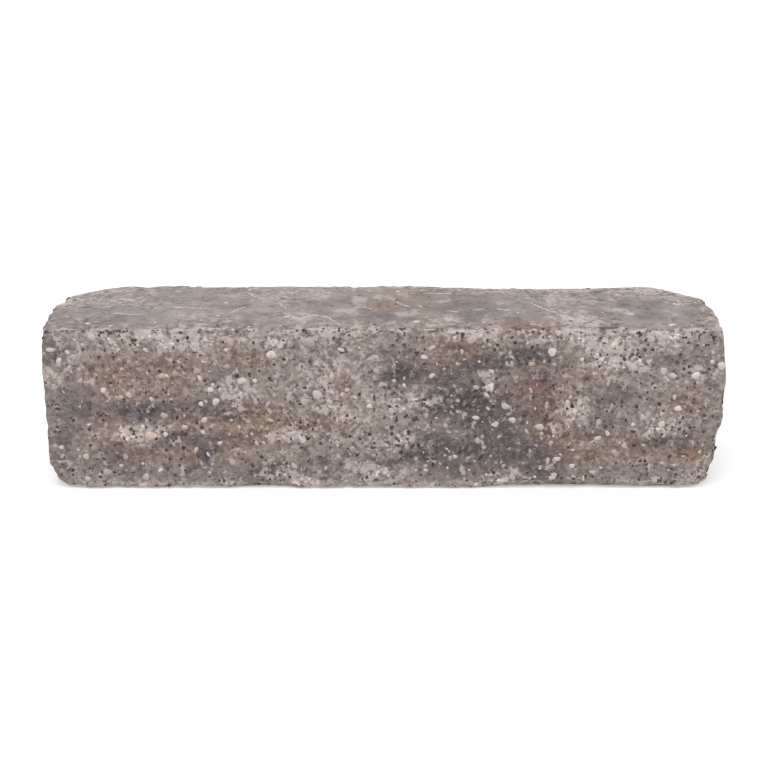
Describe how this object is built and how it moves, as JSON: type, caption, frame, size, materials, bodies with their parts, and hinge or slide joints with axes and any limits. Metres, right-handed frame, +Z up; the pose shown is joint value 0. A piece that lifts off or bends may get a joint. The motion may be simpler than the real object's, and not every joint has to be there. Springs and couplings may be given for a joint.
{
  "type": "concrete sleeper",
  "caption": "Long square-section concrete sleeper with tumbled, rounded arrises and knocked corners, laid flat for edging, steps and low garden walls.",
  "frame": {"origin": "middle of the underside's bounding rectangle, on the floor the sleeper lies on", "axes": "+X along the sleeper, -Y out of the face side, +Z up"},
  "size_m": [0.5999, 0.15, 0.15],
  "materials": {
    "concrete": "rough, tumbled, exposed aggregate in grey, brown and anthracite"
  },
  "bodies": {
    "root": {"sleeper": "concrete"}
  },
  "joints": []
}
